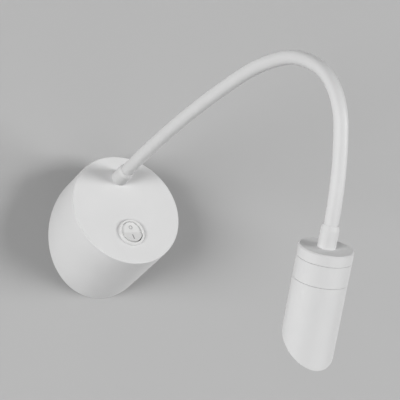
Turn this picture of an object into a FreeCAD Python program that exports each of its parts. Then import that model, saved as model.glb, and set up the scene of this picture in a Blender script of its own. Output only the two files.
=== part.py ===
import FreeCAD, Part
import math
import os

# Bedside wall reading lamp: a round base that leans up out of the wall, a bendable neck
# and a slim round head whose shade is cut off at a slant.
#
# Millimetres. The wall is the plane Y = 0 and the lamp stands out of it towards -Y.
# +Z is up, +X is to the right of someone who faces the lamp. The origin is the point
# where the axis of the base meets the wall. Base, neck and head share the plane X = 0.

V = FreeCAD.Vector

# ---------------------------------------------------------------- driving dimensions

# base housing
BASE_DIAMETER = 96.0
BASE_TILT = 25.0              # the axis of the base rises this many degrees out of the wall
BASE_LENGTH = 50.5            # along the axis, from the wall to the front face
BASE_WALL = 1.6
BASE_FRONT = 2.0              # thickness of the front face
BASE_EDGE = 0.8               # chamfer round the front face
NECK_HEIGHT = 28.0            # neck hole above the middle of the face
SWITCH_DROP = 21.0            # switch hole below the middle of the face
SCREW_GAP = 0.2               # radial, round the housing screw in the housing's wall

# wall bracket
BRACKET_WIDTH = 76.0
BRACKET_HEIGHT = 68.0
BRACKET_CORNER = 12.0
BRACKET_THICKNESS = 1.5
SLOT_SPACING = 60.0
SLOT_WIDTH = 4.6
SLOT_LENGTH = 9.0
ENTRY_HEIGHT = -4.0           # middle of the cable entry, above the origin
ENTRY_BORE = 8.0
GROMMET_NECK = 15.0
GROMMET_FLANGE = 18.6
GROMMET_FLANGE_DEPTH = 1.2    # in front of the bracket
GROMMET_GAP = 0.1             # radial, in the bracket
TAB_WIDTH = 12.0
TAB_GAP = 0.7                 # between the bracket's tabs and the housing's wall
TAB_REACH = 34.0              # how far along the axis the top tab ends
LUG_SIDE = 2.0                # the lug is this much wider than the tab on either side
LUG_LENGTH = 3.2              # lug inside the housing that the bottom tab hooks in front of
LUG_HEIGHT = 3.4
LUG_START = -13.0
HOOK_GAP = 0.3
HOUSING_SCREW_PLACE = 28.6    # along the axis
HOUSING_SCREW = 4.0
HOUSING_SCREW_HEAD = 7.4
HOUSING_SCREW_HEAD_HEIGHT = 2.2
HOUSING_SCREW_PAST = 2.0      # beyond the tab that it is screwed into

# connector and driver inside the base
TERMINAL_POLES = 2
TERMINAL_PITCH = 10.0
TERMINAL_HEIGHT = 13.0
TERMINAL_DEPTH = 14.0
TERMINAL_BOTTOM = 8.5
TERMINAL_BORE = 3.4
TERMINAL_WELL = 3.6           # bore over a clamp screw
TERMINAL_SCREW = 3.3
TERMINAL_SCREW_LENGTH = 3.4
TERMINAL_SCREW_RISE = 2.2     # the screw's head in front of the block's middle
TERMINAL_ROW = 3.5            # from an end of the block to a row of screws
TERMINAL_SLIT = 1.2           # between two poles
TERMINAL_WEB = 2.5            # thickness of the web that joins the poles
DRIVER_WIDTH = 36.0
DRIVER_HEIGHT = 20.0
DRIVER_DEPTH = 17.0
DRIVER_TOP = -15.0
DRIVER_EDGE = 1.5
LEAD_DIAMETER = 1.8

# round rocker switch
SWITCH_BEZEL = 23.0
SWITCH_BODY = 20.0
SWITCH_HOLE_GAP = 0.1         # radial, body in the panel hole
SWITCH_BEZEL_HEIGHT = 2.0
SWITCH_BEZEL_EDGE = 0.7       # how far the bezel's side runs in above half its height
SWITCH_DEPTH = 20.0           # body behind the face
SWITCH_FLOOR = 3.5
SWITCH_WALL = 1.5             # round the narrow part of the bore
SNAP_WIDTH = 5.0              # wings that catch the body behind the panel
SNAP_HEIGHT = 7.8
SNAP_REACH = 1.2
SNAP_ROOT = 0.3               # how deep a wing is rooted in the body
SNAP_GAP = 0.2                # between a wing and the panel's back
SWITCH_SIDE = 0.6             # wall of the body beside the rocker
ROCKER_GAP = 0.55             # radial, enough for the tilted rocker's corners
ROCKER_ROOM = 4.6             # depth of the wide part of the switch's bore below the pivot
ROCKER_PIVOT_DEPTH = 0.5      # pivot below the face
ROCKER_TILT = 9.0             # to either side of its middle position
ROCKER_VALLEY = 1.1           # height of the fold line above the pivot
ROCKER_KEEL = 2.6             # depth of the rocker's body below the pivot
ROCKER_PIN = 2.2
PIN_GAP = 0.05
PIN_END_GAP = 0.2
STEM_DIAMETER = 5.2
STEM_LENGTH = 4.4
PLUNGER_DIAMETER = 3.0
PLUNGER_LENGTH = 5.4
PLUNGER_REACH = 9.0           # tip below the pivot
PLUNGER_POINT = 0.6           # chamfer round the tip
SPRING_GAP = 0.1              # radial, in the stem
STEM_BORE_TOP = 1.2           # end of the stem's bore below the pivot
CONTACT_DROP = 9.35           # top of the see-saw contact below the pivot
CONTACT_END_GAP = 2.0         # from the bore's wall
CONTACT_WIDTH = 4.0
CONTACT_THICKNESS = 0.7
CONTACT_TILT = 7.0
BLADE_WIDTH = 4.8
BLADE_THICKNESS = 0.8
BLADE_LENGTH = 8.5            # below the body
BLADE_OFFSET = 5.0
BLADE_GAP = 0.05              # round a blade in the switch's floor
FULCRUM_GAP = 0.1             # under the middle of the see-saw contact
CONTACT_GAP = 0.35            # under its lower end

# neck: straight ends in the ferrules, tangent arcs between them
NECK_DIAMETER = 10.6
SLEEVE_WALL = 1.0
SLEEVE_GAP = 0.3              # radial, between the sleeve and the hose
HOSE_BORE = 4.4
NECK_START_ANGLE = BASE_TILT
NECK_ARCS = ((191.5, 8.4), (60.0, 13.1), (50.0, 27.5), (55.0, 67.2), (69.0, 18.8))
NECK_JOINTS = 6               # places where the lengths of hose turn against each other
HOSE_GAP = 2.0                # between two lengths of hose, enough for their largest turn
HOSE_FLATS = 6                # the wound tube under the sleeve is drawn with this many flats
NECK_SAG = 0.15               # the neck is drawn in straight steps, this near to its arcs
NECK_FLATS = 20               # and its round outside with this many flats
CABLE_DIAMETER = 3.6
CABLE_FLATS = 6
SMALL_FLATS = 8               # small hidden round things are drawn with this many flats
HIDDEN_FLATS = 16             # and the middling ones with this many
INNER_FLATS = 24              # and the inside of the head with this many
CABLE_GAP = 0.3

# ferrules at both ends of the neck
FERRULE_WALL = 1.3            # round the socket
FERRULE_LIP = 0.35            # the same at the tapered end
FERRULE_TAPER = 3.5           # length of the taper
ROOT_FERRULE_LENGTH = 16.0
TIP_FERRULE_LENGTH = 17.0
FERRULE_SOCKET = 10.0
FERRULE_GAP = 0.1             # radial, round the sleeve
FERRULE_BORE = 6.0
STUB_DIAMETER = 9.8
STUB_GAP = 0.2                # radial, in the holes of the housing and the cap
ROOT_STUB = 9.0
TIP_STUB = 6.6
NUT_WIDTH = 14.0
NUT_HEIGHT = 3.5
WASHER_DIAMETER = 17.0
WASHER_THICKNESS = 0.8
THREAD_GAP = 0.05             # radial, between a stub and its nut or washer

# head
HEAD_DIAMETER = 40.0
HEAD_WALL = 1.5
CAP_HEIGHT = 8.1
CAP_TOP = 2.2
CAP_EDGE = 0.9
REVEAL = 0.25                 # fine groove between the head's pieces
REVEAL_DEPTH = 1.5
RING_WALL = 1.4               # between the groove's depth and the cap's spigot
RING_HEIGHT = 15.85
RING_FLOOR = 3.0
SPIGOT_LENGTH = 4.0
SPIGOT_GAP = 0.1              # radial
SPIGOT_WALL = 1.6
SHADE_CENTRE_LENGTH = 71.6    # from the top of the cap to the slanted rim, on the axis
SHADE_SLANT = 36.6            # degrees between the rim and a square cut
BOARD_DIAMETER = 26.0
BOARD_THICKNESS = 1.5
BOARD_SCREW = 2.6
BOARD_SCREW_HEAD = 4.6
BOARD_SCREW_HEAD_HEIGHT = 1.4
BOARD_SCREW_PLACE = 9.8       # from the head's axis
PAD_DIAMETER = 15.0
PAD_THICKNESS = 0.5
LEAD_HOLE = 2.6
LEAD_PLACE = 14.4             # from the head's axis, between the board and the spigot
CHIP_WIDTH = 9.0
CHIP_HEIGHT = 1.2
LENS_THROAT = 12.0
LENS_TAPER = 30.4             # across the taper's wide end
LENS_HEIGHT = 11.0
LENS_RIM = 1.6
LENS_WALL = 1.2               # round the recess over the light
LENS_RECESS = 3.0
LENS_GAP = 0.15               # radial, lens and ring in the shade
LENS_TOP = 27.6               # below the top of the cap
LENS_RING_HEIGHT = 1.5
LENS_RING_WIDTH = 3.4

# wires
WIRE_SPREAD = 2.16            # between the two wires of a pair
WIRE_CLEAR = 0.1              # between a wire and the blade that it ends on
WIRE_BEND = 4.0               # first bend in the base, beyond the ferrule's stub
WIRE_DROP = 8.0               # height of the bends above and below
WIRE_INSET = 2.5              # from the driver's side
WIRE_ENTRY = 2.0              # into the connector
WIRE_RISE = 4.0               # straight run before the connector
HEAD_WIRE_BEND = 3.0          # first bend in the head, beyond the ferrule's stub

# ---------------------------------------------------------------- worked-out values

BASE_RADIUS = BASE_DIAMETER / 2
INNER_RADIUS = BASE_RADIUS - BASE_WALL
NECK_RADIUS = NECK_DIAMETER / 2
HOSE_RADIUS = NECK_RADIUS - SLEEVE_WALL - SLEEVE_GAP
HEAD_RADIUS = HEAD_DIAMETER / 2
SHADE_INNER = HEAD_RADIUS - HEAD_WALL
RING_TOP = CAP_HEIGHT + REVEAL
RING_BOTTOM = RING_TOP + RING_HEIGHT
SHADE_TOP = RING_BOTTOM + REVEAL
SPIGOT_RADIUS = SHADE_INNER - SPIGOT_GAP
CAP_SPIGOT = HEAD_RADIUS - REVEAL_DEPTH - RING_WALL
SWITCH_RADIUS = SWITCH_BODY / 2
SWITCH_BORE = SWITCH_RADIUS - SWITCH_SIDE
ROCKER_RADIUS = SWITCH_BORE - ROCKER_GAP
CONTACT_LENGTH = SWITCH_BODY - 2 * (SWITCH_WALL + CONTACT_END_GAP)
FERRULE_DIAMETER = NECK_DIAMETER + 2 * (FERRULE_GAP + FERRULE_WALL)
CUT_BOX = 400.0               # larger than anything that is cut with it
JOIN = 1.0                    # how far a cut, or a piece that is fused on, runs past a face
SAME = 0.01                   # edges this near to a plane lie on it
X_AXIS = V(1, 0, 0)


# ---------------------------------------------------------------- general helpers

def cylinder(radius, bottom, top, x=0.0, y=0.0):
    return Part.makeCylinder(radius, top - bottom, V(x, y, bottom))


def box(x0, x1, y0, y1, z0, z1):
    return Part.makeBox(x1 - x0, y1 - y0, z1 - z0, V(x0, y0, z0))


def ring(outer, inner, bottom, top):
    return cylinder(outer, bottom, top).cut(cylinder(inner, bottom - JOIN, top + JOIN))


def revolve(points):
    """A solid of revolution about Z from corner points (radius, height)."""
    corners = [V(r, 0, z) for r, z in points]
    wire = Part.makePolygon(corners + [corners[0]])
    return Part.Face(wire).revolve(V(0, 0, 0), V(0, 0, 1), 360)


def turned(shape, angle, axis, about=V(0, 0, 0)):
    copy = shape.copy()
    copy.rotate(about, axis, angle)
    return copy


def moved(shape, x=0.0, y=0.0, z=0.0):
    copy = shape.copy()
    copy.translate(V(x, y, z))
    return copy


def group(shapes):
    return Part.makeCompound(shapes)


def save(name, shape):
    shape.exportStep("parts/" + name + ".step")


def rounded_plate(width, height, corner, thickness):
    """A plate in the XZ plane with round corners, its back on Y = 0."""
    w = width / 2
    h = height / 2
    c = corner
    m = c * (1 - math.sqrt(0.5))
    edges = []
    for sx, sz in ((1, 1), (-1, 1), (-1, -1), (1, -1)):
        start = V(sx * w, 0, sz * (h - c))
        end = V(sx * (w - c), 0, sz * h)
        if sx * sz < 0:
            start, end = end, start
        edges.append(Part.Arc(start, V(sx * (w - m), 0, sz * (h - m)), end).toShape())
    joined = []
    for i, edge in enumerate(edges):
        joined.append(edge)
        last = edge.lastVertex().Point
        first = edges[(i + 1) % 4].firstVertex().Point
        joined.append(Part.LineSegment(last, first).toShape())
    return Part.Face(Part.Wire(joined)).extrude(V(0, -thickness, 0))


def regular(sides, radius, centre, normal):
    """A regular polygon with its corners at radius, flat sides up and down."""
    side = X_AXIS if abs(normal.x) < 0.7 else V(0, 0, 1)
    side = (side - normal * side.dot(normal)).normalize()
    up = normal.cross(side)
    corners = []
    for i in range(sides + 1):
        a = 2 * math.pi * (i + 0.5) / sides
        corners.append(centre + side * (radius * math.cos(a)) + up * (radius * math.sin(a)))
    return Part.makePolygon(corners)


def bar_along(points, radius, sides):
    """A bar with flats through points, mitred at its corners."""
    heading = (points[1] - points[0]).normalize()
    profile = regular(sides, radius, points[0], heading)
    return Part.makePolygon(points).makePipeShell([profile], True, False, 1)


def lead(points):
    return bar_along(points, LEAD_DIAMETER / 2, CABLE_FLATS)


def prism(sides, diameter, bottom, top, x=0.0, y=0.0):
    """An upright bar with flats, its corners on a circle of the diameter."""
    outline = regular(sides, diameter / 2, V(x, y, bottom), V(0, 0, 1))
    return Part.Face(outline).extrude(V(0, 0, top - bottom))


def prism_ring(sides, outer, inner, bottom, top):
    return prism(sides, outer, bottom, top).cut(prism(sides, inner, bottom - JOIN, top + JOIN))


def taper(sides, wide, bottom, narrow, top):
    """An upright bar with flats that narrows from its bottom to its top."""
    low = regular(sides, wide / 2, V(0, 0, bottom), V(0, 0, 1))
    high = regular(sides, narrow / 2, V(0, 0, top), V(0, 0, 1))
    a = [v.Point for v in low.OrderedVertexes]
    b = [v.Point for v in high.OrderedVertexes]
    faces = [Part.Face(low), Part.Face(high)]
    for i in range(sides):
        j = (i + 1) % sides
        faces.append(Part.Face(Part.makePolygon([a[i], a[j], b[j], b[i], a[i]])))
    return Part.makeSolid(Part.makeShell(faces))


def small_screw(shank, head, head_height, length):
    """A small screw along -Z, the underside of its head on Z = 0, drawn with flats."""
    return prism(SMALL_FLATS, shank, -length, JOIN).fuse(prism(SMALL_FLATS, head, 0, head_height))


# ---------------------------------------------------------------- places

def on_base(shape):
    """From the base's own frame (Z along its axis, Y up its face) to the lamp's frame."""
    return turned(shape, 90 - BASE_TILT, X_AXIS)


def base_point(x, up, along):
    tilt = math.radians(BASE_TILT)
    return V(x, up * math.sin(tilt) - along * math.cos(tilt), up * math.cos(tilt) + along * math.sin(tilt))


def heading_vector(angle):
    """A direction in the plane X = 0, given as degrees above the outward level."""
    a = math.radians(angle)
    return V(0, -math.cos(a), math.sin(a))


class NeckRoute:
    """The neck's centre line: straight, arcs, straight, measured from its start."""

    def __init__(self):
        self.pieces = []
        self.corners = []
        self.length = 0.0
        self.point = base_point(0, NECK_HEIGHT, BASE_LENGTH + ROOT_FERRULE_LENGTH - FERRULE_SOCKET)
        self.angle = NECK_START_ANGLE
        self.add(FERRULE_SOCKET, 0.0)
        for length, turn in NECK_ARCS:
            self.add(length, turn)
        self.free_end = self.length
        self.add(FERRULE_SOCKET, 0.0)

    def add(self, length, turn):
        self.pieces.append((self.length, length, turn, self.point, self.angle))
        chords = max(1, math.ceil(math.sqrt(length * math.radians(turn) / (8 * NECK_SAG))))
        self.corners += [self.length + length * i / chords for i in range(1, chords + 1)]
        self.point, self.angle = self.step(self.point, self.angle, length, turn)
        self.length += length

    @staticmethod
    def step(point, angle, length, turn):
        if turn == 0:
            return point + heading_vector(angle) * length, angle
        radius = length / math.radians(turn)
        centre = point + heading_vector(angle - 90) * radius
        return centre + heading_vector(angle - turn + 90) * radius, angle - turn

    def at(self, place):
        """Point and heading at a distance along the centre line."""
        for start, length, turn, point, angle in self.pieces:
            if place <= start + length + 1e-9:
                part = place - start
                return self.step(point, angle, part, turn * part / length)
        return self.point, self.angle

    def points(self, begin, end):
        """The corners of the centre line from one place to another, both ends included."""
        inner = [c for c in self.corners if begin + JOIN < c < end - JOIN]
        return [self.at(place)[0] for place in [begin] + inner + [end]]


ROUTE = NeckRoute()
FLEX_START = FERRULE_SOCKET
FLEX_STEP = (ROUTE.free_end - FLEX_START) / NECK_JOINTS
HEAD_TILT = -ROUTE.angle - 90
HEAD_POINT = ROUTE.at(ROUTE.free_end)[0] + heading_vector(ROUTE.angle) * TIP_FERRULE_LENGTH


def joint_place(number):
    """Where joint number 1..NECK_JOINTS lies along the neck."""
    return FLEX_START + FLEX_STEP * (number - 0.5)


def on_head(shape):
    """From the head's own frame (Z towards the neck, 0 at the cap's top) to the lamp's."""
    placed = turned(shape, HEAD_TILT, X_AXIS)
    placed.translate(HEAD_POINT)
    return placed


def head_point(x, front, up):
    tilt = math.radians(HEAD_TILT)
    return HEAD_POINT + V(x, front * math.cos(tilt) - up * math.sin(tilt),
                          front * math.sin(tilt) + up * math.cos(tilt))


# ---------------------------------------------------------------- base

def base_housing():
    deep = -CUT_BOX / 4
    body = cylinder(BASE_RADIUS, deep, BASE_LENGTH)
    rim = [e for e in body.Edges if abs(e.BoundBox.ZMin - BASE_LENGTH) < SAME]
    body = body.makeChamfer(BASE_EDGE, rim)
    past = BASE_LENGTH + JOIN
    shell = body.cut(cylinder(INNER_RADIUS, deep - JOIN, BASE_LENGTH - BASE_FRONT))
    shell = shell.cut(cylinder(STUB_DIAMETER / 2 + STUB_GAP, 0, past, 0, NECK_HEIGHT))
    shell = shell.cut(cylinder(SWITCH_RADIUS + SWITCH_HOLE_GAP, 0, past, 0, -SWITCH_DROP))
    half = TAB_WIDTH / 2 + LUG_SIDE
    lug = box(-half, half, -BASE_RADIUS + BASE_WALL / 2, -INNER_RADIUS + LUG_HEIGHT,
              LUG_START, LUG_START + LUG_LENGTH)
    shell = shell.fuse(lug)
    hole = cylinder(HOUSING_SCREW / 2 + SCREW_GAP, 0, BASE_RADIUS + JOIN)
    shell = shell.cut(moved(turned(hole, -90, X_AXIS), 0, 0, HOUSING_SCREW_PLACE))
    placed = on_base(shell)
    placed = placed.cut(box(-CUT_BOX, CUT_BOX, 0, CUT_BOX, -CUT_BOX, CUT_BOX))
    save("base_housing", placed.removeSplitter())


def wall_bracket():
    half = TAB_WIDTH / 2
    t = BRACKET_THICKNESS
    plate = rounded_plate(BRACKET_WIDTH, BRACKET_HEIGHT, BRACKET_CORNER, t)
    # the wall of the housing bends away from the middle of a tab, so the tab keeps clear of it
    drop = INNER_RADIUS - math.sqrt(INNER_RADIUS ** 2 - (half + LUG_SIDE) ** 2)
    tab_top = INNER_RADIUS - drop - TAB_GAP
    sine = math.sin(math.radians(BASE_TILT))
    cosine = math.cos(math.radians(BASE_TILT))
    neck_top = tab_top / cosine - t * sine
    plate = plate.fuse(box(-half, half, -t, 0, BRACKET_HEIGHT / 2 - JOIN, neck_top))
    top_tab = on_base(box(-half, half, tab_top - t, tab_top, 0, TAB_REACH))
    hook_front = LUG_START + LUG_LENGTH + HOOK_GAP
    arm_top = -INNER_RADIUS + LUG_HEIGHT + TAB_GAP + t
    bottom_arm = on_base(box(-half, half, arm_top - t, arm_top, -BASE_RADIUS, hook_front + t))
    hook = on_base(box(-half, half, -tab_top, arm_top, hook_front, hook_front + t))
    foot = arm_top / cosine
    plate = plate.fuse(box(-half, half, -t, 0, foot - t * sine, -BRACKET_HEIGHT / 2 + JOIN))
    shape = plate.fuse([top_tab, bottom_arm, hook])
    shape = shape.cut(box(-CUT_BOX, CUT_BOX, 0, CUT_BOX, -CUT_BOX, CUT_BOX))
    for side in (-1, 1):
        x = side * SLOT_SPACING / 2
        reach = (SLOT_LENGTH - SLOT_WIDTH) / 2
        for end in (-reach, reach):
            shape = shape.cut(bracket_hole(SLOT_WIDTH / 2, x + end, 0))
        shape = shape.cut(box(x - reach, x + reach, -t - JOIN, JOIN, -SLOT_WIDTH / 2, SLOT_WIDTH / 2))
    shape = shape.cut(bracket_hole(GROMMET_NECK / 2 + GROMMET_GAP, 0, ENTRY_HEIGHT))
    thread = cylinder(HOUSING_SCREW / 2, tab_top - t - JOIN, BASE_RADIUS)
    shape = shape.cut(on_base(moved(turned(thread, -90, X_AXIS), 0, 0, HOUSING_SCREW_PLACE)))
    save("wall_bracket", shape.removeSplitter())
    return tab_top


def bracket_hole(radius, x, z):
    hole = cylinder(radius, -JOIN, BRACKET_THICKNESS + JOIN)
    return moved(turned(hole, 90, X_AXIS), x, 0, z)


def housing_screw(tab_top):
    length = BASE_RADIUS - tab_top + BRACKET_THICKNESS + HOUSING_SCREW_PAST
    screw = cylinder(HOUSING_SCREW_HEAD / 2, 0, HOUSING_SCREW_HEAD_HEIGHT)
    screw = screw.fuse(prism(SMALL_FLATS, HOUSING_SCREW, -length, JOIN))
    screw = moved(turned(screw, -90, X_AXIS), 0, BASE_RADIUS, HOUSING_SCREW_PLACE)
    save("housing_screw", on_base(screw))


def cable_grommet():
    t = BRACKET_THICKNESS
    grommet = prism(HIDDEN_FLATS, GROMMET_NECK, 0, t)
    grommet = grommet.fuse(prism(HIDDEN_FLATS, GROMMET_FLANGE, t, t + GROMMET_FLANGE_DEPTH))
    grommet = grommet.cut(cylinder(ENTRY_BORE / 2, -JOIN, t + GROMMET_FLANGE_DEPTH + JOIN))
    save("cable_grommet", moved(turned(grommet, 90, X_AXIS), 0, 0, ENTRY_HEIGHT))


def terminal_block():
    front = -BRACKET_THICKNESS
    back = front - TERMINAL_DEPTH
    low = TERMINAL_BOTTOM
    high = low + TERMINAL_HEIGHT
    shape = None
    screws = []
    for i in range(TERMINAL_POLES):
        x = (i - (TERMINAL_POLES - 1) / 2) * TERMINAL_PITCH
        half = (TERMINAL_PITCH - TERMINAL_SLIT) / 2
        middle = (front + back) / 2
        pole = box(x - half, x + half, back, front, low, high)
        pole = pole.cut(prism(SMALL_FLATS, TERMINAL_BORE, low - JOIN, high + JOIN, x, middle))
        for z in (low + TERMINAL_ROW, high - TERMINAL_ROW):
            well = turned(prism(SMALL_FLATS, TERMINAL_WELL, 0, TERMINAL_DEPTH / 2), 90, X_AXIS)
            pole = pole.cut(moved(well, x, middle, z))
            screw = turned(prism(SMALL_FLATS, TERMINAL_SCREW, 0, TERMINAL_SCREW_LENGTH), 90, X_AXIS)
            screws.append(moved(screw, x, middle - TERMINAL_SCREW_RISE, z))
        shape = pole if shape is None else shape.fuse(pole)
    web = TERMINAL_PITCH * (TERMINAL_POLES - 1) / 2
    shape = shape.fuse(box(-web, web, front - TERMINAL_WEB, front, low + JOIN, high - JOIN))
    save("terminal_block", shape.removeSplitter())
    save("terminal_screws", group(screws))


def led_driver():
    back = -BRACKET_THICKNESS
    front = back - DRIVER_DEPTH
    half = DRIVER_WIDTH / 2
    case = box(-half, half, front, back, DRIVER_TOP - DRIVER_HEIGHT, DRIVER_TOP)
    edges = [e for e in case.Edges if e.BoundBox.YMax < front + SAME]
    save("led_driver", case.makeChamfer(DRIVER_EDGE, edges))


# ---------------------------------------------------------------- switch

def on_switch(shape):
    """From the switch's frame (Z out of the face, 0 on the face) to the lamp's."""
    return on_base(moved(shape, 0, -SWITCH_DROP, BASE_LENGTH))


def pivot_turned(shape, angle):
    return turned(shape, angle, X_AXIS, V(0, 0, -ROCKER_PIVOT_DEPTH))


def switch_body():
    r = SWITCH_BEZEL / 2
    h = SWITCH_BEZEL_HEIGHT
    pivot = -ROCKER_PIVOT_DEPTH
    floor = -SWITCH_DEPTH + SWITCH_FLOOR
    shape = revolve([(0, 0), (r, 0), (r, h / 2), (r - SWITCH_BEZEL_EDGE, h), (0, h)])
    shape = shape.fuse(prism(INNER_FLATS, SWITCH_BODY, -SWITCH_DEPTH, h / 2))
    shape = shape.cut(cylinder(SWITCH_BORE, pivot - ROCKER_ROOM, h + JOIN))
    shape = shape.cut(prism(HIDDEN_FLATS, SWITCH_BODY - 2 * SWITCH_WALL, floor, pivot))
    pin_hole = cylinder(ROCKER_PIN / 2 + PIN_GAP, -SWITCH_RADIUS, SWITCH_RADIUS)
    shape = shape.cut(moved(turned(pin_hole, 90, V(0, 1, 0)), 0, 0, pivot))
    snap_top = -BASE_FRONT - SNAP_GAP
    for side in (-1, 1):
        root = V(-SNAP_WIDTH / 2, side * (SWITCH_RADIUS - SNAP_ROOT), snap_top)
        tip = V(-SNAP_WIDTH / 2, side * (SWITCH_RADIUS + SNAP_REACH), snap_top)
        foot = root - V(0, 0, SNAP_HEIGHT)
        wing = Part.Face(Part.makePolygon([root, tip, foot, root]))
        shape = shape.fuse(wing.extrude(V(SNAP_WIDTH, 0, 0)))
    for slot in switch_blades(BLADE_GAP):
        shape = shape.cut(slot)
    save("switch_body", on_switch(shape.removeSplitter()))


def switch_blades(grow=0.0):
    """The fulcrum blade in the middle and the blade under one end of the see-saw."""
    pivot = -ROCKER_PIVOT_DEPTH
    w = BLADE_WIDTH / 2 + grow
    t = BLADE_THICKNESS / 2 + grow
    bottom = -SWITCH_DEPTH - BLADE_LENGTH
    fulcrum_top = pivot - CONTACT_DROP - CONTACT_THICKNESS - FULCRUM_GAP
    middle = box(-w, w, -t, t, bottom, fulcrum_top)
    fall = BLADE_OFFSET * math.sin(math.radians(CONTACT_TILT))
    side_top = fulcrum_top - fall - CONTACT_GAP
    side = box(-w, w, BLADE_OFFSET - t, BLADE_OFFSET + t, bottom, side_top)
    return [middle, side]


def rocker_solids():
    pivot = -ROCKER_PIVOT_DEPTH
    keel = pivot - ROCKER_KEEL
    big = 2 * ROCKER_RADIUS
    body = cylinder(ROCKER_RADIUS, keel, pivot + big)
    for side in (-1, 1):
        wedge = box(-big, big, 0, big, 0, big)
        wedge = turned(wedge, ROCKER_TILT, X_AXIS)
        if side < 0:
            wedge = turned(wedge, 180, V(0, 0, 1))
        body = body.cut(moved(wedge, 0, 0, pivot + ROCKER_VALLEY))
    pin_end = SWITCH_RADIUS - PIN_END_GAP
    pins = cylinder(ROCKER_PIN / 2, -pin_end, pin_end)
    body = body.fuse(moved(turned(pins, 90, V(0, 1, 0)), 0, 0, pivot))
    stem_end = keel - STEM_LENGTH
    bore_top = pivot - STEM_BORE_TOP
    body = body.fuse(prism(SMALL_FLATS, STEM_DIAMETER, stem_end, keel + JOIN))
    body = body.cut(prism(SMALL_FLATS, PLUNGER_DIAMETER + 2 * PIN_GAP, stem_end - JOIN, bore_top))
    tip = pivot - PLUNGER_REACH
    plunger_top = tip + PLUNGER_LENGTH
    plunger = prism(SMALL_FLATS, PLUNGER_DIAMETER, tip, plunger_top)
    tip_edges = [e for e in plunger.Edges if e.BoundBox.ZMax < tip + PLUNGER_POINT]
    plunger = plunger.makeChamfer(PLUNGER_POINT, tip_edges)
    spring = prism(SMALL_FLATS, PLUNGER_DIAMETER - 2 * SPRING_GAP, plunger_top, bore_top)
    return body.removeSplitter(), plunger, spring


def switch_moving_parts():
    """Drawn switched off: the upper half of the rocker is pressed in."""
    names = ("switch_rocker", "switch_plunger", "switch_spring")
    for name, solid in zip(names, rocker_solids()):
        save(name, on_switch(pivot_turned(solid, -ROCKER_TILT)))
    top = -ROCKER_PIVOT_DEPTH - CONTACT_DROP
    half = CONTACT_LENGTH / 2
    blade = box(-CONTACT_WIDTH / 2, CONTACT_WIDTH / 2, -half, half, top - CONTACT_THICKNESS, top)
    blade = turned(blade, CONTACT_TILT, X_AXIS, V(0, 0, top - CONTACT_THICKNESS))
    save("switch_contact", on_switch(blade))
    save("switch_terminals", on_switch(group(switch_blades())))


# ---------------------------------------------------------------- ferrules and nuts

def ferrule(length, stub):
    """Along +Z from its seat at Z = 0, its threaded stub below the seat."""
    r = FERRULE_DIAMETER / 2
    flats = NECK_RADIUS + FERRULE_GAP
    socket = flats / math.cos(math.pi / HIDDEN_FLATS)
    shape = revolve([(0, 0), (r, 0), (r, length - FERRULE_TAPER), (flats + FERRULE_LIP, length), (0, length)])
    shape = shape.fuse(prism(HIDDEN_FLATS, STUB_DIAMETER, -stub, JOIN))
    shape = shape.cut(prism(HIDDEN_FLATS, 2 * socket, length - FERRULE_SOCKET, length + JOIN))
    return shape.cut(prism(SMALL_FLATS, FERRULE_BORE, -stub - JOIN, length))


def stub_nut(top):
    """A hexagon nut on a ferrule's stub, its top at Z = top."""
    corners = NUT_WIDTH / math.cos(math.radians(30))
    nut = prism(6, corners, top - NUT_HEIGHT, top)
    return nut.cut(prism(HIDDEN_FLATS, STUB_DIAMETER + 2 * THREAD_GAP, top - NUT_HEIGHT - JOIN, top + JOIN))


def root_fittings():
    place = (0, NECK_HEIGHT, BASE_LENGTH)
    save("root_ferrule", on_base(moved(ferrule(ROOT_FERRULE_LENGTH, ROOT_STUB), *place)))
    washer_bottom = -BASE_FRONT - WASHER_THICKNESS
    washer = prism_ring(HIDDEN_FLATS, WASHER_DIAMETER, STUB_DIAMETER + 2 * THREAD_GAP, washer_bottom,
                        -BASE_FRONT)
    save("root_washer", on_base(moved(washer, *place)))
    save("root_nut", on_base(moved(stub_nut(washer_bottom), *place)))


def tip_fittings():
    save("tip_ferrule", on_head(ferrule(TIP_FERRULE_LENGTH, TIP_STUB)))
    save("tip_nut", on_head(stub_nut(-CAP_TOP)))


# ---------------------------------------------------------------- neck

def hose_length(number):
    """Length 1 is held in the base's ferrule and the last one in the head's."""
    begin = 0.0 if number == 1 else joint_place(number - 1) + HOSE_GAP / 2
    end = ROUTE.length if number == NECK_JOINTS + 1 else joint_place(number) - HOSE_GAP / 2
    points = ROUTE.points(begin, end)
    return bar_along(points, HOSE_RADIUS, HOSE_FLATS).cut(bar_along(points, HOSE_BORE / 2, HOSE_FLATS))


def neck():
    for number in range(1, NECK_JOINTS + 2):
        save("neck_hose_%d" % number, hose_length(number))
    whole = ROUTE.points(0.0, ROUTE.length)
    lining = bar_along(whole, NECK_RADIUS - SLEEVE_WALL, HOSE_FLATS)
    save("neck_sleeve", bar_along(whole, NECK_RADIUS, NECK_FLATS).cut(lining))
    save("neck_cable", bar_along(whole, CABLE_DIAMETER / 2, CABLE_FLATS))


# ---------------------------------------------------------------- wires in the base

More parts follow.
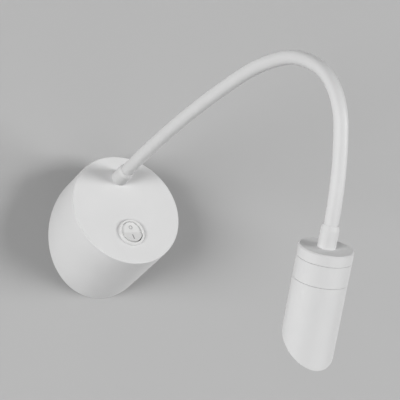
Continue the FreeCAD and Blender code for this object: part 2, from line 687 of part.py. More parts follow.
def base_wires():
    """From the neck's cable down to the driver, and from the switch up to the connector."""
    beside = DRIVER_WIDTH / 2 - WIRE_INSET
    depth = -BRACKET_THICKNESS - DRIVER_DEPTH / 2
    leads = []
    for side in (-1, 1):
        x = side * WIRE_SPREAD / 2
        start = base_point(x, NECK_HEIGHT, BASE_LENGTH + ROOT_FERRULE_LENGTH - FERRULE_SOCKET - CABLE_GAP)
        below = base_point(x, NECK_HEIGHT, BASE_LENGTH - ROOT_STUB - WIRE_BEND)
        turn = V(side * beside, below.y, below.z - WIRE_DROP)
        down = V(side * beside, depth, DRIVER_TOP + WIRE_DROP)
        end = V(side * beside, depth, DRIVER_TOP + CABLE_GAP)
        leads.append(lead([start, below, turn, down, end]))
    save("driver_leads", group(leads))
    leads = []
    middle = -BRACKET_THICKNESS - TERMINAL_DEPTH / 2
    foot = BASE_LENGTH - SWITCH_DEPTH - BLADE_LENGTH - LEAD_DIAMETER / 2 - WIRE_CLEAR
    for side, up in ((-1, 0.0), (1, BLADE_OFFSET)):
        x = side * TERMINAL_PITCH / 2
        start = base_point(0, -SWITCH_DROP + up, foot)
        out = base_point(x, -SWITCH_DROP + up, foot)
        rise = V(x, middle, TERMINAL_BOTTOM - WIRE_RISE)
        end = V(x, middle, TERMINAL_BOTTOM + WIRE_ENTRY)
        leads.append(lead([start, out, rise, end]))
    save("switch_leads", group(leads))


# ---------------------------------------------------------------- head

def head_cap():
    r = HEAD_RADIUS
    low = RING_TOP + SPIGOT_LENGTH
    cap = revolve([(0, -CAP_HEIGHT), (r, -CAP_HEIGHT), (r, -CAP_EDGE), (r - CAP_EDGE, 0), (0, 0)])
    cap = cap.fuse(prism(INNER_FLATS, 2 * CAP_SPIGOT, -low, -CAP_EDGE))
    cap = cap.cut(prism(INNER_FLATS, 2 * (CAP_SPIGOT - SPIGOT_WALL), -low - JOIN, -CAP_TOP))
    cap = cap.cut(cylinder(STUB_DIAMETER / 2 + STUB_GAP, -low, JOIN))
    save("head_cap", on_head(cap.removeSplitter()))


def head_ring():
    """The middle ring: it carries the light board on its floor and takes up its heat."""
    r = HEAD_RADIUS
    floor_top = RING_BOTTOM - RING_FLOOR
    end = -RING_BOTTOM - SPIGOT_LENGTH
    shape = revolve([(0, -RING_TOP), (r, -RING_TOP), (r, -RING_BOTTOM), (SPIGOT_RADIUS, -RING_BOTTOM),
                     (SPIGOT_RADIUS, end), (0, end)])
    shape = shape.cut(prism(INNER_FLATS, 2 * (CAP_SPIGOT + SPIGOT_GAP), -floor_top, -RING_TOP + JOIN))
    shape = shape.cut(prism(INNER_FLATS, 2 * (SPIGOT_RADIUS - SPIGOT_WALL), end - JOIN, -RING_BOTTOM))
    for side in (-1, 1):
        through = (-RING_BOTTOM - JOIN, -floor_top + JOIN)
        shape = shape.cut(prism(SMALL_FLATS, LEAD_HOLE, *through, side * LEAD_PLACE, 0))
        shape = shape.cut(prism(SMALL_FLATS, BOARD_SCREW, *through, 0, side * BOARD_SCREW_PLACE))
    save("head_ring", on_head(shape))


def shade_cut():
    """Everything beyond the slanted rim, which runs longest on the side away from the wall."""
    big = CUT_BOX / 2
    cut = box(-big, big, -big, big, -big, 0)
    cut = turned(cut, SHADE_SLANT, X_AXIS)
    return moved(cut, 0, 0, -SHADE_CENTRE_LENGTH)


def head_shade():
    deep = SHADE_CENTRE_LENGTH + 2 * HEAD_DIAMETER
    tube = ring(HEAD_RADIUS, SHADE_INNER, -deep, -SHADE_TOP)
    save("head_shade", on_head(tube.cut(shade_cut())))


def light_board():
    top = RING_BOTTOM
    board_top = top + PAD_THICKNESS
    board_bottom = board_top + BOARD_THICKNESS
    save("thermal_pad", on_head(prism(HIDDEN_FLATS, PAD_DIAMETER, -board_top, -top)))
    board = prism(HIDDEN_FLATS, BOARD_DIAMETER, -board_bottom, -board_top)
    screws = []
    for side in (-1, 1):
        place = side * BOARD_SCREW_PLACE
        hole = prism(SMALL_FLATS, BOARD_SCREW, -board_bottom - JOIN, -board_top + JOIN, 0, place)
        board = board.cut(hole)
        length = PAD_THICKNESS + BOARD_THICKNESS + RING_FLOOR
        screw = small_screw(BOARD_SCREW, BOARD_SCREW_HEAD, BOARD_SCREW_HEAD_HEIGHT, length)
        screw = turned(screw, 180, X_AXIS)
        screws.append(moved(screw, 0, place, -board_bottom))
    save("light_board", on_head(board))
    save("board_screws", on_head(group(screws)))
    half = CHIP_WIDTH / 2
    chip = box(-half, half, -half, half, -board_bottom - CHIP_HEIGHT, -board_bottom)
    save("light_chip", on_head(chip))


def lens():
    """A disc with a faceted taper towards the light, and the ring that holds it in the shade."""
    r = SHADE_INNER - LENS_GAP
    bottom = -LENS_TOP - LENS_HEIGHT
    shoulder = bottom + LENS_RIM
    cone = taper(INNER_FLATS, LENS_TAPER, shoulder, LENS_THROAT, -LENS_TOP)
    shape = cylinder(r, bottom, shoulder).fuse(cone)
    recess = prism(INNER_FLATS, LENS_THROAT - 2 * LENS_WALL, -LENS_TOP - LENS_RECESS, -LENS_TOP + JOIN)
    save("lens", on_head(shape.cut(recess)))
    save("lens_ring", on_head(ring(r, r - LENS_RING_WIDTH, bottom - LENS_RING_HEIGHT, bottom)))


def head_wires():
    """Out of the neck's cable, round the nut and through the ring's floor beside the board."""
    start_up = TIP_FERRULE_LENGTH - FERRULE_SOCKET - CABLE_GAP
    leads = []
    for side in (-1, 1):
        x = side * WIRE_SPREAD / 2
        bend = -TIP_STUB - HEAD_WIRE_BEND
        leads.append(lead([head_point(x, 0, start_up), head_point(x, 0, bend),
                           head_point(side * LEAD_PLACE, 0, bend - HEAD_WIRE_BEND),
                           head_point(side * LEAD_PLACE, 0, -RING_BOTTOM - PAD_THICKNESS)]))
    save("head_wires", group(leads))


# ---------------------------------------------------------------- the whole lamp

def main():
    os.makedirs("parts", exist_ok=True)
    base_housing()
    tab_top = wall_bracket()
    housing_screw(tab_top)
    cable_grommet()
    terminal_block()
    led_driver()
    switch_body()
    switch_moving_parts()
    root_fittings()
    neck()
    tip_fittings()
    base_wires()
    head_cap()
    head_ring()
    head_shade()
    light_board()
    lens()
    head_wires()
    for number in range(1, NECK_JOINTS + 1):
        point, angle = ROUTE.at(joint_place(number))
        print("joint %d at Y %.4f Z %.4f heading %.4f" % (number, point.y, point.z, angle))
    print("head point Y %.4f Z %.4f tilt %.3f" % (HEAD_POINT.y, HEAD_POINT.z, HEAD_TILT))


main()
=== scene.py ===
import math

import bmesh
import bpy
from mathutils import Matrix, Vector
from mathutils.bvhtree import BVHTree

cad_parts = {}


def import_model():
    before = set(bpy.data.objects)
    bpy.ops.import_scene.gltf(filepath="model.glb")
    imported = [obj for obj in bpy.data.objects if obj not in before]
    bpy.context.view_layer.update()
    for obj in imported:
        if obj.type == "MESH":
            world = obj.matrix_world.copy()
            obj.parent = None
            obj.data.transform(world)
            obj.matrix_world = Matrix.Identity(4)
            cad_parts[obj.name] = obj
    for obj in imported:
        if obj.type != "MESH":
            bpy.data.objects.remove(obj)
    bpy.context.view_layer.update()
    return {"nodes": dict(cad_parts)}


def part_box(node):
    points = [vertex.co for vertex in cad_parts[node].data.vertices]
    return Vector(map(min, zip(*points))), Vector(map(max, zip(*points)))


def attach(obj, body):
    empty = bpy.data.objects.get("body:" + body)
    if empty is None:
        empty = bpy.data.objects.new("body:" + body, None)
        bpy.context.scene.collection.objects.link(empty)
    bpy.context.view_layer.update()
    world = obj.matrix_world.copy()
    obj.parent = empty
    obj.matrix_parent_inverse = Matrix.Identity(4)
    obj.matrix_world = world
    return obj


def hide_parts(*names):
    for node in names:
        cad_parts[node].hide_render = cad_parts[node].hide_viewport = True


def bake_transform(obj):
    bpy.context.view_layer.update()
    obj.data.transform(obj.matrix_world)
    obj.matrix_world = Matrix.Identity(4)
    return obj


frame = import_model()

# A bedside wall reading lamp. Metres, in the lamp's own frame: the wall is the plane Y = 0, the
# lamp stands out of it towards -Y, +Z is up and the origin is the base's middle on the wall.

MM = 0.001

# ------------------------------------------------------------------ sizes that repeat the model's

BASE_TILT = math.radians(25.0)
BASE_LENGTH = 50.5 * MM
NECK_HEIGHT = 28.0 * MM
SWITCH_DROP = 21.0 * MM
ROOT_FERRULE_LENGTH = 16.0 * MM
FERRULE_SOCKET = 10.0 * MM
NECK_RADIUS = 5.3 * MM
SLEEVE_WALL = 1.0 * MM
NECK_ARCS = ((191.5, 8.4), (60.0, 13.1), (50.0, 27.5), (55.0, 67.2), (69.0, 18.8))  # mm, degrees
NECK_BODIES = ("base", "neck_2", "neck_3", "neck_4", "neck_5", "neck_6", "head")

# ------------------------------------------------------------------ materials

NOISE_LOW = 0.3                   # a noise mostly lies between these two values
NOISE_HIGH = 0.7
MIX_DARK = 6                      # sockets of the Mix node for colours
MIX_LIGHT = 7
MIX_RESULT = 2
CLOUD_SCALE = 38.0
CLOUD_DETAIL = 2.0
SPECKLE_DETAIL = 4.0
SPECKLE_ROUGHNESS = 0.6
GLOSS_SPREAD = 0.05
GRAIN_STRENGTH = 0.5
SPANGLE_SCALE = 420.0
ZINC_GRAIN = 1800.0
LENS_GRAIN = 500.0
ACRYLIC_IOR = 1.49


def new_material(name):
    material = bpy.data.materials.new(name)
    material.use_nodes = True
    nodes = material.node_tree.nodes
    return material, nodes, material.node_tree.links, nodes["Principled BSDF"]


def object_coordinates(nodes):
    return nodes.new("ShaderNodeTexCoord").outputs["Object"]


def noise(nodes, links, vector, scale, detail=3.0, roughness=0.5):
    node = nodes.new("ShaderNodeTexNoise")
    node.inputs["Scale"].default_value = scale
    node.inputs["Detail"].default_value = detail
    node.inputs["Roughness"].default_value = roughness
    links.new(vector, node.inputs["Vector"])
    return node.outputs["Fac"]


def map_range(nodes, links, value, low, high):
    node = nodes.new("ShaderNodeMapRange")
    node.inputs["From Min"].default_value = NOISE_LOW
    node.inputs["From Max"].default_value = NOISE_HIGH
    node.inputs["To Min"].default_value = low
    node.inputs["To Max"].default_value = high
    links.new(value, node.inputs["Value"])
    return node.outputs["Result"]


def tint(nodes, links, value, dark, light):
    node = nodes.new("ShaderNodeMix")
    node.data_type = "RGBA"
    node.inputs[MIX_DARK].default_value = (*dark, 1)
    node.inputs[MIX_LIGHT].default_value = (*light, 1)
    links.new(value, node.inputs["Factor"])
    return node.outputs[MIX_RESULT]


def bump(nodes, links, height, distance, strength):
    node = nodes.new("ShaderNodeBump")
    node.inputs["Distance"].default_value = distance
    node.inputs["Strength"].default_value = strength
    links.new(height, node.inputs["Height"])
    return node.outputs["Normal"]


def grained(name, color, spread, roughness, grain, depth, specular=0.5, metallic=0.0):
    """A solid colour with soft clouds in tone and gloss and a fine grain on its surface."""
    material, nodes, links, shader = new_material(name)
    place = object_coordinates(nodes)
    clouds = noise(nodes, links, place, CLOUD_SCALE, CLOUD_DETAIL)
    speckle = noise(nodes, links, place, grain, SPECKLE_DETAIL, SPECKLE_ROUGHNESS)
    low = [c * (1 - spread) for c in color]
    high = [min(1.0, c * (1 + spread)) for c in color]
    tone = tint(nodes, links, map_range(nodes, links, clouds, 0, 1), low, high)
    links.new(tone, shader.inputs["Base Color"])
    gloss = map_range(nodes, links, speckle, roughness - GLOSS_SPREAD, roughness + GLOSS_SPREAD)
    links.new(gloss, shader.inputs["Roughness"])
    links.new(bump(nodes, links, speckle, depth, GRAIN_STRENGTH), shader.inputs["Normal"])
    shader.inputs["Specular IOR Level"].default_value = specular
    shader.inputs["Metallic"].default_value = metallic
    return material


def grey(level):
    return (level, level, level)


def zinc():
    """Bright zinc plate: small angular spangles that differ a little in tone, and a fine grain."""
    material, nodes, links, shader = new_material("zinc_plate")
    place = object_coordinates(nodes)
    cells = nodes.new("ShaderNodeTexVoronoi")
    cells.inputs["Scale"].default_value = SPANGLE_SCALE
    links.new(place, cells.inputs["Vector"])
    spangle = nodes.new("ShaderNodeSeparateColor")
    links.new(cells.outputs["Color"], spangle.inputs["Color"])
    tone = tint(nodes, links, spangle.outputs["Red"], (0.55, 0.56, 0.575), (0.63, 0.64, 0.65))
    links.new(tone, shader.inputs["Base Color"])
    fine = noise(nodes, links, place, ZINC_GRAIN, SPECKLE_DETAIL)
    links.new(map_range(nodes, links, fine, 0.3, 0.45), shader.inputs["Roughness"])
    links.new(bump(nodes, links, fine, 0.02 * MM, 0.4), shader.inputs["Normal"])
    shader.inputs["Metallic"].default_value = 1.0
    return material


def clear_lens():
    material, nodes, links, shader = new_material("clear_lens")
    place = object_coordinates(nodes)
    fine = noise(nodes, links, place, LENS_GRAIN)
    links.new(map_range(nodes, links, fine, 0.03, 0.09), shader.inputs["Roughness"])
    links.new(bump(nodes, links, fine, 0.02 * MM, 0.3), shader.inputs["Normal"])
    links.new(tint(nodes, links, fine, (0.9, 0.93, 0.94), (0.96, 0.97, 0.97)), shader.inputs["Base Color"])
    shader.inputs["Transmission Weight"].default_value = 1.0
    shader.inputs["IOR"].default_value = ACRYLIC_IOR
    return material


MATERIALS = {
    "powder_coat": grained("powder_coat", grey(0.712), 0.012, 0.72, 1500.0, 0.05 * MM, specular=0.18),
    # the same white paint as the base's housing, made a little darker: painted shade on the head and both
    # ferrules
    "shaded_head_coat": grained("shaded_head_coat", grey(0.68), 0.012, 0.65, 1500.0, 0.05 * MM, specular=0.25),
    "neck_skin": grained("neck_skin", grey(0.685), 0.012, 0.5, 2200.0, 0.03 * MM, specular=0.35),
    "switch_gloss": grained("switch_gloss", (0.725, 0.725, 0.72), 0.008, 0.38, 900.0, 0.004 * MM,
                            specular=0.35),
    "zinc": zinc(),
    "clear_lens": clear_lens(),
    "brass": grained("bare_brass", (0.62, 0.43, 0.16), 0.08, 0.33, 900.0, 0.03 * MM, metallic=1.0),
    "rubber": grained("black_rubber", (0.03, 0.03, 0.03), 0.25, 0.62, 700.0, 0.08 * MM),
    "pad": grained("grey_pad", (0.2, 0.22, 0.25), 0.1, 0.7, 600.0, 0.08 * MM),
    "connector": grained("connector_plastic", (0.6, 0.6, 0.57), 0.03, 0.4, 800.0, 0.03 * MM),
    "driver": grained("driver_case", (0.5, 0.5, 0.48), 0.03, 0.45, 600.0, 0.08 * MM),
    "insulation": grained("wire_insulation", (0.06, 0.06, 0.065), 0.1, 0.4, 500.0, 0.04 * MM),
    "board": grained("board_mask", (0.66, 0.67, 0.63), 0.03, 0.35, 500.0, 0.02 * MM),
    "phosphor": grained("phosphor", (0.78, 0.56, 0.07), 0.05, 0.3, 1200.0, 0.02 * MM),
    "mark": grained("mark_print", grey(0.27), 0.05, 0.4, 900.0, 0.01 * MM),
}

NODE_MATERIALS = {
    "powder_coat": ("base_housing",),
    "shaded_head_coat": ("root_ferrule", "tip_ferrule", "head_cap", "head_ring", "head_shade"),
    "switch_gloss": ("switch_body", "switch_rocker"),
    "zinc": ("wall_bracket", "terminal_screws", "root_nut", "root_washer", "tip_nut", "switch_spring",
             "board_screws"),
    "brass": ("switch_contact", "switch_terminals"),
    "rubber": ("cable_grommet", "lens_ring"),
    "pad": ("thermal_pad",),
    "connector": ("terminal_block", "switch_plunger"),
    "driver": ("led_driver",),
    "insulation": ("driver_leads", "switch_leads", "head_wires"),
    "board": ("light_board",),
    "phosphor": ("light_chip",),
    "clear_lens": ("lens",),
}


def assign(obj, material):
    obj.data.materials.clear()
    obj.data.materials.append(material)


def dress_nodes():
    for key, names in NODE_MATERIALS.items():
        for name in names:
            assign(frame["nodes"][name], MATERIALS[key])
    # the bright housing throws no light back at the wall, so its two soft shadows stay deep
    frame["nodes"]["base_housing"].visible_diffuse = False


# ------------------------------------------------------------------ mesh helpers


def piece_from(mesh, name, material, smooth=True):
    """A new object from a bmesh."""
    data = bpy.data.meshes.new(name)
    bmesh.ops.recalc_face_normals(mesh, faces=mesh.faces)
    mesh.to_mesh(data)
    mesh.free()
    for polygon in data.polygons:
        polygon.use_smooth = smooth
    obj = bpy.data.objects.new(name, data)
    bpy.context.scene.collection.objects.link(obj)
    assign(obj, material)
    return obj


def sharpen(obj, angle):
    """Edges that turn by more than the angle stay sharp."""
    obj.data.set_sharp_from_angle(angle=math.radians(angle))


def base_point(x, up, along):
    """A point in the base's frame: across and up its face, and along its axis."""
    sine, cosine = math.sin(BASE_TILT), math.cos(BASE_TILT)
    return Vector((x, up * sine - along * cosine, up * cosine + along * sine))


# ------------------------------------------------------------------ neck sleeve


def heading_vector(angle):
    a = math.radians(angle)
    return Vector((0, -math.cos(a), math.sin(a)))


def step(point, angle, length, turn):
    """Along a straight or an arc that turns down by a number of degrees."""
    if turn == 0:
        return point + heading_vector(angle) * length, angle
    radius = length / math.radians(turn)
    centre = point + heading_vector(angle - 90) * radius
    return centre + heading_vector(angle - turn + 90) * radius, angle - turn


def neck_route():
    """(start, length, turn, point, angle) of each stretch of the neck's centre line."""
    point = base_point(0, NECK_HEIGHT, BASE_LENGTH + ROOT_FERRULE_LENGTH - FERRULE_SOCKET)
    angle = math.degrees(BASE_TILT)
    stretches = [(FERRULE_SOCKET, 0)] + [(length * MM, turn) for length, turn in NECK_ARCS]
    route, start = [], 0.0
    for length, turn in stretches + [(FERRULE_SOCKET, 0)]:
        route.append((start, length, turn, point, angle))
        point, angle = step(point, angle, length, turn)
        start += length
    return route, start


ROUTE, ROUTE_LENGTH = neck_route()
FLEX_STEP = (ROUTE_LENGTH - 2 * FERRULE_SOCKET) / (len(NECK_BODIES) - 1)
SLEEVE_SIDES = 48
SLEEVE_STEP = 2.0 * MM
SLEEVE_SHARP = 60                 # degrees


def route_at(place):
    for start, length, turn, point, angle in ROUTE:
        if place <= start + length:
            part = place - start
            return step(point, angle, part, turn * part / length)
    _, length, turn, point, angle = ROUTE[-1]
    return step(point, angle, length, turn)


def add_ring(mesh, centre, angle, radius):
    up = heading_vector(angle + 90)
    side = Vector((1, 0, 0))
    ring = []
    for i in range(SLEEVE_SIDES):
        a = 2 * math.pi * i / SLEEVE_SIDES
        ring.append(mesh.verts.new(centre + (side * math.cos(a) + up * math.sin(a)) * radius))
    return ring


def join_rings(mesh, first, second):
    for i in range(SLEEVE_SIDES):
        j = (i + 1) % SLEEVE_SIDES
        mesh.faces.new((first[i], first[j], second[j], second[i]))


def sleeve_mesh(begin, end):
    """A closed tube with a wall between two places along the neck."""
    mesh = bmesh.new()
    count = max(2, round((end - begin) / SLEEVE_STEP))
    stations = [route_at(begin + (end - begin) * i / count) for i in range(count + 1)]
    outer = [add_ring(mesh, point, angle, NECK_RADIUS) for point, angle in stations]
    inner = [add_ring(mesh, point, angle, NECK_RADIUS - SLEEVE_WALL) for point, angle in stations]
    for rings in (outer, inner):
        for first, second in zip(rings, rings[1:]):
            join_rings(mesh, first, second)
    join_rings(mesh, outer[0], inner[0])
    join_rings(mesh, outer[-1], inner[-1])
    return mesh


def blend_ends(begin, end):
    """Where a stretch starts and stops bending, set in so that its end faces stay whole."""
    start, start_angle = route_at(begin)
    stop, stop_angle = route_at(end)
    chord = (stop - start).normalized()
    lean = [math.sqrt(1 - chord.dot(heading_vector(angle)) ** 2) for angle in (start_angle, stop_angle)]
    return start + chord * NECK_RADIUS * lean[0], stop - chord * NECK_RADIUS * lean[1]


def neck_sleeve():
    last = len(NECK_BODIES) - 1
    for i in range(last):
        flex = (FERRULE_SOCKET + FLEX_STEP * i, FERRULE_SOCKET + FLEX_STEP * (i + 1))
        begin = 0.0 if i == 0 else flex[0]
        end = ROUTE_LENGTH if i == last - 1 else flex[1]
        sleeve = piece_from(sleeve_mesh(begin, end), f"neck_sleeve_{i + 1}", MATERIALS["neck_skin"])
        sharpen(sleeve, SLEEVE_SHARP)
        hidden = ["neck_sleeve", "neck_cable"] if i == 0 else []
        hidden += [f"neck_hose_{i + 1}"] + ([f"neck_hose_{i + 2}"] if i == last - 1 else [])
        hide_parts(*hidden)
        NECK_BODIES[i]
        NECK_BODIES[i + 1]
        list(blend_ends(*flex))
        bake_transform(sleeve)


# ------------------------------------------------------------------ housing screw

SCREW_ALONG = 28.6 * MM
SCREW_SEAT = 48.0 * MM
SCREW_RADIUS = 2.0 * MM
SCREW_HEAD_RADIUS = 3.7 * MM
SCREW_HEAD_HEIGHT = 2.2 * MM
SCREW_HEAD_DOME = 0.9 * MM
SCREW_SIDES = 64
DOME_STEPS = 8
CROSS_REACH = 2.1 * MM
CROSS_HALF_WIDTH = 0.42 * MM
CROSS_DEPTH = 1.3 * MM
CROSS_TAPER = 0.45
SCREW_SHARP = 30                  # degrees


def screw_point(x, along, rise):
    """A point at a height over the head's seat, on the screw's axis or beside it."""
    return base_point(x, SCREW_SEAT + rise, SCREW_ALONG + along)


def screw_profile():
    """(radius, height) from the tip of the shank to the middle of the domed head."""
    tip_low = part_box("housing_screw")[0][2]
    length = (screw_point(0, 0, 0).z - tip_low - SCREW_RADIUS * math.sin(BASE_TILT)) / math.cos(BASE_TILT)
    profile = [(0.0, -length), (SCREW_RADIUS, -length), (SCREW_RADIUS, 0.0), (SCREW_HEAD_RADIUS, 0.0)]
    straight = SCREW_HEAD_HEIGHT - SCREW_HEAD_DOME
    for i in range(DOME_STEPS + 1):
        a = math.pi / 2 * i / DOME_STEPS
        profile.append((SCREW_HEAD_RADIUS * math.cos(a), straight + SCREW_HEAD_DOME * math.sin(a)))
    return profile


def lathe(profile):
    """A closed solid of revolution about the screw's axis; the profile's ends lie on it."""
    mesh = bmesh.new()
    rings = []
    for radius, height in profile[1:-1]:
        ring = []
        for i in range(SCREW_SIDES):
            a = 2 * math.pi * i / SCREW_SIDES
            ring.append(mesh.verts.new(screw_point(radius * math.cos(a), radius * math.sin(a), height)))
        rings.append(ring)
    for first, second in zip(rings, rings[1:]):
        for i in range(SCREW_SIDES):
            j = (i + 1) % SCREW_SIDES
            mesh.faces.new((first[i], first[j], second[j], second[i]))
    for ring, (_, height) in ((rings[0], profile[0]), (rings[-1], profile[-1])):
        pole = mesh.verts.new(screw_point(0, 0, height))
        for i in range(SCREW_SIDES):
            mesh.faces.new((ring[i], ring[(i + 1) % SCREW_SIDES], pole))
    return mesh


def cross_outline(reach, half):
    """The twelve corners of a plus sign."""
    corners = []
    for quarter in range(4):
        cosine, sine = round(math.cos(math.pi / 2 * quarter)), round(math.sin(math.pi / 2 * quarter))
        for x, y in ((reach, -half), (reach, half), (half, half)):
            corners.append((x * cosine - y * sine, x * sine + y * cosine))
    return corners


def cross_cutter():
    """A cross-shaped plug that narrows towards its tip in the screw's head."""
    mesh = bmesh.new()
    top, floor = SCREW_HEAD_HEIGHT + CROSS_DEPTH, SCREW_HEAD_HEIGHT - CROSS_DEPTH
    rings = []
    for height, share in ((top, 2 - CROSS_TAPER), (floor, CROSS_TAPER)):
        outline = cross_outline(CROSS_REACH * share, CROSS_HALF_WIDTH)
        rings.append([mesh.verts.new(screw_point(x, y, height)) for x, y in outline])
    for i in range(len(rings[0])):
        j = (i + 1) % len(rings[0])
        mesh.faces.new((rings[0][i], rings[0][j], rings[1][j], rings[1][i]))
    for ring in rings:
        mesh.faces.new(ring)
    return mesh


def cut_by(obj, cutter):
    """Cuts one mesh out of another and keeps only the result."""
    modifier = obj.modifiers.new("cut", "BOOLEAN")
    modifier.operation = "DIFFERENCE"
    modifier.solver = "EXACT"
    modifier.object = cutter
    result = bpy.data.meshes.new_from_object(obj.evaluated_get(bpy.context.evaluated_depsgraph_get()))
    obj.modifiers.remove(modifier)
    obj.data = result
    bpy.data.objects.remove(cutter)


def housing_screw():
    screw = piece_from(lathe(screw_profile()), "housing_screw_head", MATERIALS["powder_coat"])
    cut_by(screw, piece_from(cross_cutter(), "cross_cutter", MATERIALS["powder_coat"]))
    sharpen(screw, SCREW_SHARP)
    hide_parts("housing_screw")
    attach(screw, "base")


# ------------------------------------------------------------------ marks on the rocker

MARK_RISE = 0.12 * MM
MARK_SINK = 0.1 * MM
RING_STROKE = 0.42 * MM
RING_MARK_RADIUS = 1.4 * MM
RING_MARK_UP = 4.5 * MM
RING_MARK_SIDES = 40
BAR_STROKE = 0.75 * MM
BAR_MARK_LENGTH = 4.6 * MM
BAR_MARK_UP = -4.3 * MM
BAR_MARK_STEPS = 6
CAST_HEIGHT = 6.0 * MM


def rocker_surface():
    """Finds the point of the rocker's skin over a place (x, up) of the switch."""
    data = frame["nodes"]["switch_rocker"].data
    corners = [vertex.co.copy() for vertex in data.vertices]
    skin = BVHTree.FromPolygons(corners, [tuple(polygon.vertices) for polygon in data.polygons])
    inward = -(base_point(0, 0, 1) - base_point(0, 0, 0)).normalized()

    def over(x, up):
        start = base_point(x, up - SWITCH_DROP, BASE_LENGTH + CAST_HEIGHT)
        return skin.ray_cast(start, inward)[0], -inward

    return over


def raised_band(over, sections):
    """A low closed band over the rocker, through pairs of points (x, up) on its two sides."""
    mesh = bmesh.new()
    rows = []
    for left, right in sections:
        row = []
        for place, rise in ((left, -MARK_SINK), (left, MARK_RISE), (right, MARK_RISE), (right, -MARK_SINK)):
            foot, outward = over(*place)
            row.append(mesh.verts.new(foot + outward * rise))
        rows.append(row)
    return mesh, rows


def skin_rows(mesh, rows, closed):
    count = len(rows) if closed else len(rows) - 1
    for i in range(count):
        first, second = rows[i], rows[(i + 1) % len(rows)]
        for j in range(len(first)):
            k = (j + 1) % len(first)
            mesh.faces.new((first[j], first[k], second[k], second[j]))
    if not closed:
        mesh.faces.new(rows[0])
        mesh.faces.new(rows[-1])


def ring_sections():
    for i in range(RING_MARK_SIDES):
        a = 2 * math.pi * i / RING_MARK_SIDES
        pair = []
        for r in (RING_MARK_RADIUS - RING_STROKE / 2, RING_MARK_RADIUS + RING_STROKE / 2):
            pair.append((r * math.cos(a), RING_MARK_UP + r * math.sin(a)))
        yield pair


def bar_sections():
    for i in range(BAR_MARK_STEPS + 1):
        up = BAR_MARK_UP + BAR_MARK_LENGTH * (i / BAR_MARK_STEPS - 0.5)
        yield (-BAR_STROKE / 2, up), (BAR_STROKE / 2, up)


def rocker_marks():
    over = rocker_surface()
    for name, sections, closed in (("mark_off", ring_sections(), True), ("mark_on", bar_sections(), False)):
        mesh, rows = raised_band(over, sections)
        skin_rows(mesh, rows, closed)
        mark = piece_from(mesh, name, MATERIALS["mark"], smooth=False)
        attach(mark, "rocker")


# ------------------------------------------------------------------ wall, floor, lights, camera

WALL_SIZE = 5.0
WALL_GAP = 0.3 * MM
WALL_GREY = 0.465
FOOT_RADIUS = 46.5 * MM
FOOT_STEPS = 96
FLOOR_DROP = 1.3
FLOOR_GREY = 0.75
FLOOR_FADE = (1.0, 2.4)
MOTTLE_SCALE = 6.0
MOTTLE_SPREAD = 0.015
STAGE_ROUGHNESS = 0.9
SKY_GREY = 0.5
AMBIENT = 0.05


def add_loop(mesh, points):
    corners = [mesh.verts.new(point) for point in points]
    for i, corner in enumerate(corners):
        mesh.edges.new((corner, corners[(i + 1) % len(corners)]))


def flat_sheet(name, outline, facing, material, hole=None):
    """A sheet that fills its outline, but for the hole, and faces a given way."""
    mesh = bmesh.new()
    add_loop(mesh, outline)
    if hole:
        add_loop(mesh, hole)
    bmesh.ops.triangle_fill(mesh, use_beauty=True, edges=mesh.edges[:])
    turned = [face for face in mesh.faces if face.normal.dot(facing) < 0]
    bmesh.ops.reverse_faces(mesh, faces=turned)
    data = bpy.data.meshes.new(name)
    mesh.to_mesh(data)
    mesh.free()
    obj = bpy.data.objects.new(name, data)
    bpy.context.scene.collection.objects.link(obj)
    assign(obj, material)
    return obj


def stage_material(name, level):
    """A matt wash with faint mottling."""
    material, nodes, links, shader = new_material(name)
    place = object_coordinates(nodes)
    mottle = noise(nodes, links, place, MOTTLE_SCALE)
    dark, light = grey(level * (1 - MOTTLE_SPREAD)), grey(level * (1 + MOTTLE_SPREAD))
    links.new(tint(nodes, links, mottle, dark, light), shader.inputs["Base Color"])
    shader.inputs["Roughness"].default_value = STAGE_ROUGHNESS
    shader.inputs["Specular IOR Level"].default_value = 0.0
    return material, nodes, links


def clear_where(nodes, links, share):
    """The wash gives way to clear by a share from 0 to 1."""
    mix = nodes.new("ShaderNodeMixShader")
    links.new(share, mix.inputs["Fac"])
    links.new(nodes["Principled BSDF"].outputs["BSDF"], mix.inputs[1])
    links.new(nodes.new("ShaderNodeBsdfTransparent").outputs["BSDF"], mix.inputs[2])
    links.new(mix.outputs["Shader"], nodes["Material Output"].inputs["Surface"])


def larger(nodes, links, first, second):
    node = nodes.new("ShaderNodeMath")
    node.operation = "MAXIMUM"
    links.new(first, node.inputs[0])
    links.new(second, node.inputs[1])
    return node.outputs["Value"]


def from_behind(nodes):
    return nodes.new("ShaderNodeNewGeometry").outputs["Backfacing"]


def wall_wash():
    """Clear from behind, and it casts no shadow."""
    material, nodes, links = stage_material("wall_wash", WALL_GREY)
    shadow = nodes.new("ShaderNodeLightPath").outputs["Is Shadow Ray"]
    clear_where(nodes, links, larger(nodes, links, from_behind(nodes), shadow))
    return material


def floor_wash():
    """The floor fades into the surroundings, away from the lamp, and is clear from below."""
    material, nodes, links = stage_material("floor_wash", FLOOR_GREY)
    apart = nodes.new("ShaderNodeVectorMath")
    apart.operation = "LENGTH"
    links.new(object_coordinates(nodes), apart.inputs[0])
    fade = nodes.new("ShaderNodeMapRange")
    fade.interpolation_type = "SMOOTHSTEP"
    fade.inputs["From Min"].default_value, fade.inputs["From Max"].default_value = FLOOR_FADE
    links.new(apart.outputs["Value"], fade.inputs["Value"])
    clear_where(nodes, links, larger(nodes, links, fade.outputs["Result"], from_behind(nodes)))
    return material


def foot_outline():
    """The base's foot on the wall, drawn in to the middle of the housing's own wall."""
    for i in range(FOOT_STEPS):
        a = 2 * math.pi * i / FOOT_STEPS
        yield FOOT_RADIUS * math.cos(a), WALL_GAP, FOOT_RADIUS / math.cos(BASE_TILT) * math.sin(a)


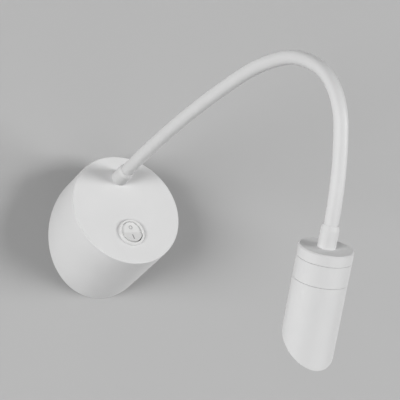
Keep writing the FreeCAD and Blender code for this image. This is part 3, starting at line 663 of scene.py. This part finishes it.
def wall_and_floor():
    s = WALL_SIZE / 2
    wall = [(-s, WALL_GAP, -FLOOR_DROP), (s, WALL_GAP, -FLOOR_DROP), (s, WALL_GAP, s), (-s, WALL_GAP, s)]
    flat_sheet("wall", wall, Vector((0, -1, 0)), wall_wash(), foot_outline())
    floor = [(-s, -s, 0), (s, -s, 0), (s, s, 0), (-s, s, 0)]
    flat_sheet("floor", floor, Vector((0, 0, 1)), floor_wash()).location.z = -FLOOR_DROP


def world():
    """Pale where it is seen, mirrored or seen through the lens, and faint as a light."""
    surroundings = bpy.data.worlds.new("studio")
    bpy.context.scene.world = surroundings
    surroundings.use_nodes = True
    nodes, links = surroundings.node_tree.nodes, surroundings.node_tree.links
    background = nodes["Background"]
    path = nodes.new("ShaderNodeLightPath").outputs
    seen = larger(nodes, links, path["Is Camera Ray"], path["Is Transmission Ray"])
    seen = larger(nodes, links, seen, path["Is Glossy Ray"])
    level = nodes.new("ShaderNodeMapRange")
    level.inputs["To Min"].default_value = AMBIENT
    level.inputs["To Max"].default_value = SKY_GREY
    links.new(seen, level.inputs["Value"])
    links.new(level.outputs["Result"], background.inputs["Strength"])
    background.inputs["Color"].default_value = (1, 1, 1, 1)


# azimuth and elevation of the lamp seen from the target, distance, width, height, power
SOFTBOXES = {
    "softbox_left": (-57.0, 5.0, 5.0, 2.4, 2.0, 208.0),
    "softbox_right": (52.0, 5.0, 5.0, 2.4, 2.0, 189.0),
    "softbox_back": (165.0, 25.0, 1.8, 1.2, 1.2, 3.5),
    "softbox_low": (10.0, -33.0, 1.9, 1.6, 0.6, 1.4),
}
LIGHT_TARGET = Vector((0, -0.15, 0.0))


def direction(azimuth, elevation):
    """Towards azimuth 0 = -Y, 90 = +X."""
    a, e = math.radians(azimuth), math.radians(elevation)
    return Vector((math.sin(a) * math.cos(e), -math.cos(a) * math.cos(e), math.sin(e)))


def softboxes():
    for name, (azimuth, elevation, distance, width, height, power) in SOFTBOXES.items():
        data = bpy.data.lights.new(name, "AREA")
        data.shape = "RECTANGLE"
        data.size, data.size_y, data.energy = width, height, power
        lamp = bpy.data.objects.new(name, data)
        bpy.context.scene.collection.objects.link(lamp)
        lamp.location = LIGHT_TARGET + direction(azimuth, elevation) * distance
        lamp.rotation_euler = (LIGHT_TARGET - lamp.location).to_track_quat("-Z", "Y").to_euler()
        lamp.visible_camera = False


CAMERA_PLACE = Vector((-0.9095, -1.7413, 0.0289))
CAMERA_AZIMUTH = -30.0
FOCAL_PIXELS = 2361.0
IMAGE_PIXELS = 400.0
SENSOR = 36.0
NEAR_CLIP = 0.05


def camera():
    data = bpy.data.cameras.new("camera")
    data.sensor_width = SENSOR
    data.lens = SENSOR * FOCAL_PIXELS / IMAGE_PIXELS
    data.clip_start = NEAR_CLIP
    obj = bpy.data.objects.new("camera", data)
    bpy.context.scene.collection.objects.link(obj)
    obj.location = CAMERA_PLACE
    obj.rotation_euler = (-direction(CAMERA_AZIMUTH, 0)).to_track_quat("-Z", "Y").to_euler()
    bpy.context.scene.camera = obj


# ------------------------------------------------------------------ the scene

camera()
dress_nodes()
neck_sleeve()
housing_screw()
rocker_marks()
wall_and_floor()
world()
softboxes()
bpy.context.scene.view_settings.view_transform = "Standard"
